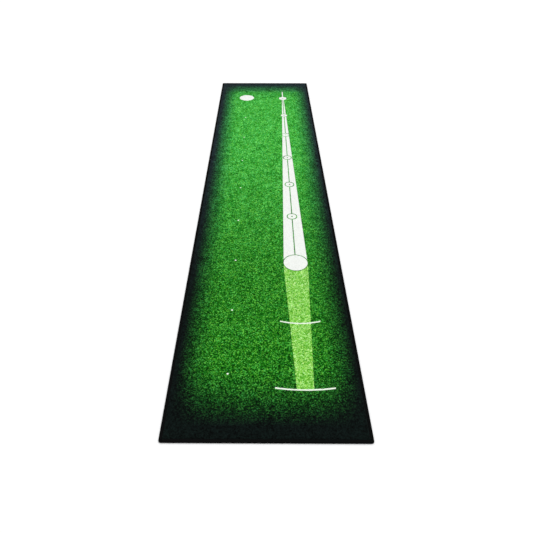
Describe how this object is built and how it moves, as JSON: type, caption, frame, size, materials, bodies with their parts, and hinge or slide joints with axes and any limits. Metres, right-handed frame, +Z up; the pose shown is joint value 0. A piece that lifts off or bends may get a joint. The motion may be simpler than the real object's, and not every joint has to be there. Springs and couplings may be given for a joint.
{
  "type": "putting mat",
  "caption": "Roll-out putting practice mat: printed cut-pile turf with a putting lane, ball marks and hole disc, on a rubber underside with an overlocked edge.",
  "frame": {"origin": "centre of the underside, in the plane of the floor the mat lies on", "axes": "+Y along the mat from the player's end to the hole end, +X to the player's right, +Z up out of the pile"},
  "size_m": [0.65, 3, 0.0076],
  "materials": {
    "rubber": "matt black, finely embossed, grips the floor",
    "precoat": "matt latex film",
    "backing_cloth": "plain-woven synthetic cloth",
    "green_pile": "dense cut pile, printed turf green that fades to black at the rim",
    "light_green_pile": "dense cut pile, printed pale lime green",
    "white_pile": "dense cut pile, undyed white",
    "edge_yarn": "black overlock yarn with a soft sheen",
    "stitch_thread": "black twisted needle thread"
  },
  "bodies": {
    "root": {"rubber_backing": "rubber", "adhesive_precoat": "precoat", "primary_backing": "backing_cloth", "turf_pile": "green_pile", "putting_lane_pile": "white_pile", "aim_line_pile": "green_pile", "stroke_lane_pile": "light_green_pile", "swing_arc_pile": "white_pile", "start_disc_pile": "white_pile", "start_outline_pile": "green_pile", "ball_ring_outline_pile": "green_pile", "ball_ring_pile": "white_pile", "ball_ring_centre_pile": "green_pile", "target_pile": "white_pile", "target_centre_pile": "green_pile", "hole_disc_pile": "white_pile", "distance_dot_pile": "white_pile", "edge_binding": "edge_yarn", "edge_stitching": "stitch_thread"}
  },
  "joints": []
}
